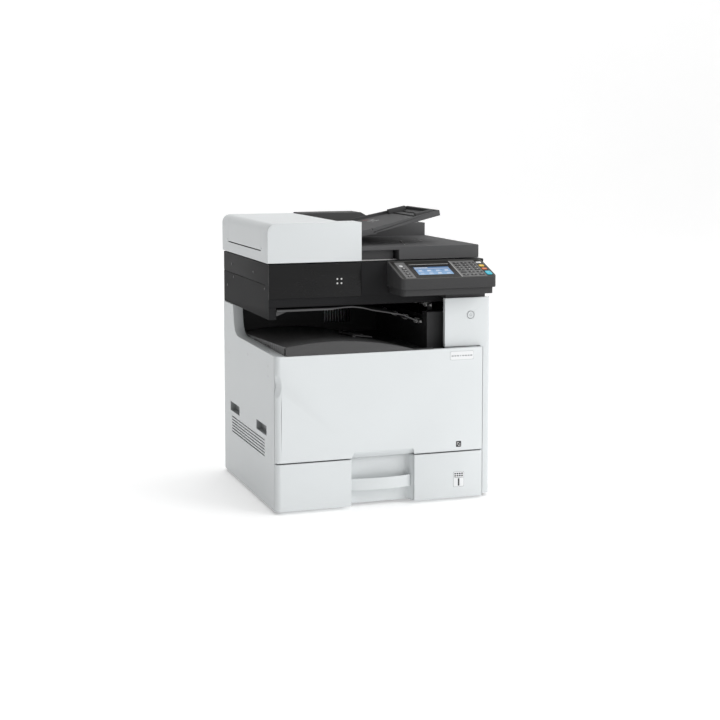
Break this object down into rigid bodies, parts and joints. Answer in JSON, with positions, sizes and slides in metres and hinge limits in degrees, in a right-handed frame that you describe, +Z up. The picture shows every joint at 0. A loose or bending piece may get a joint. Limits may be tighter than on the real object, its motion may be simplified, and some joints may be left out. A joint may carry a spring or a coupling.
{
  "type": "photocopier",
  "caption": "Desktop colour photocopier with document feeder, flatbed scanner, sloping operation panel, inner output tray and paper drawer.",
  "frame": {"origin": "centre of the overall box at floor level", "axes": "+X to the right of a person facing the front, +Y to the rear, +Z up; the front faces -Y"},
  "size_m": [0.59, 0.59, 0.7479],
  "materials": {
    "casing_white": "fine satin texture",
    "charcoal": "fine grained charcoal",
    "charcoal_light": "fine grained charcoal",
    "gloss_black": "gloss",
    "zinc_steel": "zinc plated sheet",
    "rubber_black": "matt",
    "grey_plastic": "satin",
    "roller_grey": "matt",
    "clear_glass": "polished",
    "display": "gloss film",
    "key_white": "satin",
    "key_dark": "satin",
    "key_yellow": "satin",
    "key_orange": "satin",
    "key_cyan": "satin",
    "pad_white": "smooth film on foam",
    "board_green": "solder mask",
    "belt_black": "satin film",
    "toner_black": "satin",
    "fuser_sleeve": "smooth",
    "silicone_red": "smooth"
  },
  "bodies": {
    "machine": {"main_frame": "zinc_steel", "rubber_feet": "rubber_black", "left_cover": "casing_white", "cover_screws": "zinc_steel", "rear_cover": "casing_white", "right_cover": "casing_white", "right_column": "casing_white", "inner_cover": "grey_plastic", "output_tray": "charcoal", "exit_housing": "charcoal", "job_tray": "charcoal", "scanner_tub": "charcoal_light", "scanner_front": "gloss_black", "scanner_top": "charcoal_light", "platen_glass": "clear_glass", "operation_panel": "charcoal_light", "lcd_screen": "display", "laser_unit": "charcoal", "process_units": "charcoal", "transfer_belt": "belt_black", "toner_bottles": "toner_black", "fuser_unit": "grey_plastic", "main_board": "board_green", "power_inlet": "charcoal", "cooling_fan": "charcoal"},
    "front_door": {"front_cover": "casing_white"},
    "cassette": {"cassette_front": "casing_white", "cassette_tray": "grey_plastic"},
    "lift": {"lift_plate": "zinc_steel"},
    "guide_front": {"side_guide_front": "grey_plastic"},
    "guide_rear": {"side_guide_rear": "grey_plastic"},
    "guide_pinion": {"cassette_pinion": "key_white"},
    "end_stop": {"end_guide": "grey_plastic"},
    "pickup_feed": {"feed_roller": "rubber_black"},
    "side_door": {"right_door": "casing_white"},
    "bypass": {"mp_tray": "casing_white"},
    "stopper": {"paper_stopper": "charcoal"},
    "exit_low": {"lower_exit_roller": "roller_grey"},
    "exit_high": {"upper_exit_roller": "roller_grey"},
    "carriage": {"scan_carriage": "charcoal"},
    "feeder": {"adf_base": "charcoal_light", "platen_pad": "pad_white", "adf_cover": "casing_white"},
    "feeder_flap": {"adf_top_cover": "casing_white"},
    "feeder_pickup": {"adf_pickup_roller": "rubber_black"},
    "feeder_feed": {"adf_feed_roller": "rubber_black"},
    "doc_table": {"document_tray": "charcoal_light"},
    "doc_front": {"doc_guide_front": "charcoal_light"},
    "doc_rear": {"doc_guide_rear": "charcoal_light"},
    "key_home": {"home_key": "key_white"},
    "keys_function": {"function_keys": "key_dark"},
    "keys_number": {"number_keys": "key_dark"},
    "key_energy": {"energy_key": "key_white"},
    "key_reset": {"reset_key": "key_yellow"},
    "key_stop": {"stop_key": "key_orange"},
    "key_start": {"start_key": "key_cyan"},
    "button_power": {"power_button": "casing_white"},
    "fuser_hot": {"fuser_roller": "fuser_sleeve"},
    "fuser_press": {"pressure_roller": "silicone_red"},
    "fan": {"fan_rotor": "charcoal"}
  },
  "joints": [
    {"name": "front_cover_hinge", "type": "hinge", "parent": "machine", "child": "front_door", "pos_m": [0, -0.2465, 0.1345], "axis": [1, 0, 0], "range_deg": [0, 86]},
    {"name": "drawer_slide", "type": "slide", "parent": "machine", "child": "cassette", "axis": [0, -1, 0], "range_m": [0, 0.4]},
    {"name": "lift_plate_hinge", "type": "hinge", "parent": "cassette", "child": "lift", "pos_m": [-0.102, 0.00875, 0.022], "axis": [0, -1, 0], "range_deg": [0, 11]},
    {"name": "side_guide_front_slide", "type": "slide", "parent": "cassette", "child": "guide_front", "axis": [0, 1, 0], "range_m": [0, 0.05]},
    {"name": "side_guide_rear_slide", "type": "slide", "parent": "cassette", "child": "guide_rear", "axis": [0, -1, 0], "range_m": [0, 0.05]},
    {"name": "guide_pinion_spin", "type": "hinge", "parent": "cassette", "child": "guide_pinion", "pos_m": [0.04, 0.00875, 0.018], "axis": [0, 0, -1], "range_deg": [0, 290]},
    {"name": "end_guide_slide", "type": "slide", "parent": "cassette", "child": "end_stop", "axis": [1, 0, 0], "range_m": [0, 0.1]},
    {"name": "feed_roller_spin", "type": "hinge", "parent": "machine", "child": "pickup_feed", "pos_m": [0.205, 0.02, 0.119], "axis": [0, 1, 0], "continuous": true},
    {"name": "right_door_hinge", "type": "hinge", "parent": "machine", "child": "side_door", "pos_m": [0.2888, 0.199, 0.31], "axis": [0, 0, 1], "range_deg": [0, 90]},
    {"name": "bypass_tray_hinge", "type": "hinge", "parent": "side_door", "child": "bypass", "pos_m": [0.291, -0.01, 0.2045], "axis": [0, 1, 0], "range_deg": [0, 65]},
    {"name": "paper_stopper_hinge", "type": "hinge", "parent": "machine", "child": "stopper", "pos_m": [-0.04146, -0.05224, 0.42236], "axis": [0, -0.9993, 0.0384], "range_deg": [0, 70]},
    {"name": "lower_exit_roller_spin", "type": "hinge", "parent": "machine", "child": "exit_low", "pos_m": [0.121, 0, 0.462], "axis": [0, 1, 0], "continuous": true},
    {"name": "upper_exit_roller_spin", "type": "hinge", "parent": "machine", "child": "exit_high", "pos_m": [0.149, 0, 0.504], "axis": [0, 1, 0], "continuous": true},
    {"name": "scan_carriage_slide", "type": "slide", "parent": "machine", "child": "carriage", "axis": [1, 0, 0], "range_m": [0, 0.46]},
    {"name": "feeder_hinge", "type": "hinge", "parent": "machine", "child": "feeder", "pos_m": [0, 0.2885, 0.6305], "axis": [-1, 0, 0], "range_deg": [0, 75]},
    {"name": "feeder_flap_hinge", "type": "hinge", "parent": "feeder", "child": "feeder_flap", "pos_m": [-0.29, 0.0535, 0.66], "axis": [0, -1, 0], "range_deg": [0, 80]},
    {"name": "feeder_pickup_spin", "type": "hinge", "parent": "feeder", "child": "feeder_pickup", "pos_m": [-0.117, 0.05, 0.696], "axis": [0, 1, 0], "continuous": true},
    {"name": "feeder_feed_spin", "type": "hinge", "parent": "feeder", "child": "feeder_feed", "pos_m": [-0.155, 0.05, 0.696], "axis": [0, 1, 0], "continuous": true},
    {"name": "document_tray_hinge", "type": "hinge", "parent": "feeder", "child": "doc_table", "pos_m": [0.014, 0.04, 0.6945], "axis": [0, -1, 0], "range_deg": [0, 28]},
    {"name": "doc_guide_front_slide", "type": "slide", "parent": "doc_table", "child": "doc_front", "axis": [0, 1, 0], "range_m": [0, 0.07]},
    {"name": "doc_guide_rear_slide", "type": "slide", "parent": "doc_table", "child": "doc_rear", "axis": [0, -1, 0], "range_m": [0, 0.07]},
    {"name": "home_key_press", "type": "slide", "parent": "machine", "child": "key_home", "axis": [0, 0.3173, -0.9483], "range_m": [0, 0.001], "stiffness_N_per_m": 800},
    {"name": "function_keys_press", "type": "slide", "parent": "machine", "child": "keys_function", "axis": [0, 0.3173, -0.9483], "range_m": [0, 0.001], "stiffness_N_per_m": 800},
    {"name": "number_keys_press", "type": "slide", "parent": "machine", "child": "keys_number", "axis": [0, 0.3173, -0.9483], "range_m": [0, 0.001], "stiffness_N_per_m": 800},
    {"name": "energy_key_press", "type": "slide", "parent": "machine", "child": "key_energy", "axis": [0, 0.3173, -0.9483], "range_m": [0, 0.001], "stiffness_N_per_m": 800},
    {"name": "reset_key_press", "type": "slide", "parent": "machine", "child": "key_reset", "axis": [0, 0.3173, -0.9483], "range_m": [0, 0.001], "stiffness_N_per_m": 800},
    {"name": "stop_key_press", "type": "slide", "parent": "machine", "child": "key_stop", "axis": [0, 0.3173, -0.9483], "range_m": [0, 0.001], "stiffness_N_per_m": 800},
    {"name": "start_key_press", "type": "slide", "parent": "machine", "child": "key_start", "axis": [0, 0.3173, -0.9483], "range_m": [0, 0.001], "stiffness_N_per_m": 800},
    {"name": "power_button_press", "type": "slide", "parent": "machine", "child": "button_power", "axis": [0, 1, 0], "range_m": [0, 0.001], "stiffness_N_per_m": 600},
    {"name": "fuser_roller_spin", "type": "hinge", "parent": "machine", "child": "fuser_hot", "pos_m": [0.2087, 0.02, 0.345], "axis": [0, 1, 0], "continuous": true},
    {"name": "pressure_roller_spin", "type": "hinge", "parent": "machine", "child": "fuser_press", "pos_m": [0.237, 0.02, 0.345], "axis": [0, 1, 0], "continuous": true},
    {"name": "fan_spin", "type": "hinge", "parent": "machine", "child": "fan", "pos_m": [0.135, 0.2775, 0.343], "axis": [0, 1, 0], "continuous": true}
  ],
  "couplings": [
    {"joint": "side_guide_rear_slide", "follows": "side_guide_front_slide", "ratio": 1},
    {"joint": "guide_pinion_spin", "follows": "side_guide_front_slide", "rad_per_m": 100},
    {"joint": "doc_guide_rear_slide", "follows": "doc_guide_front_slide", "ratio": 1},
    {"joint": "pressure_roller_spin", "follows": "fuser_roller_spin", "ratio": -1}
  ]
}
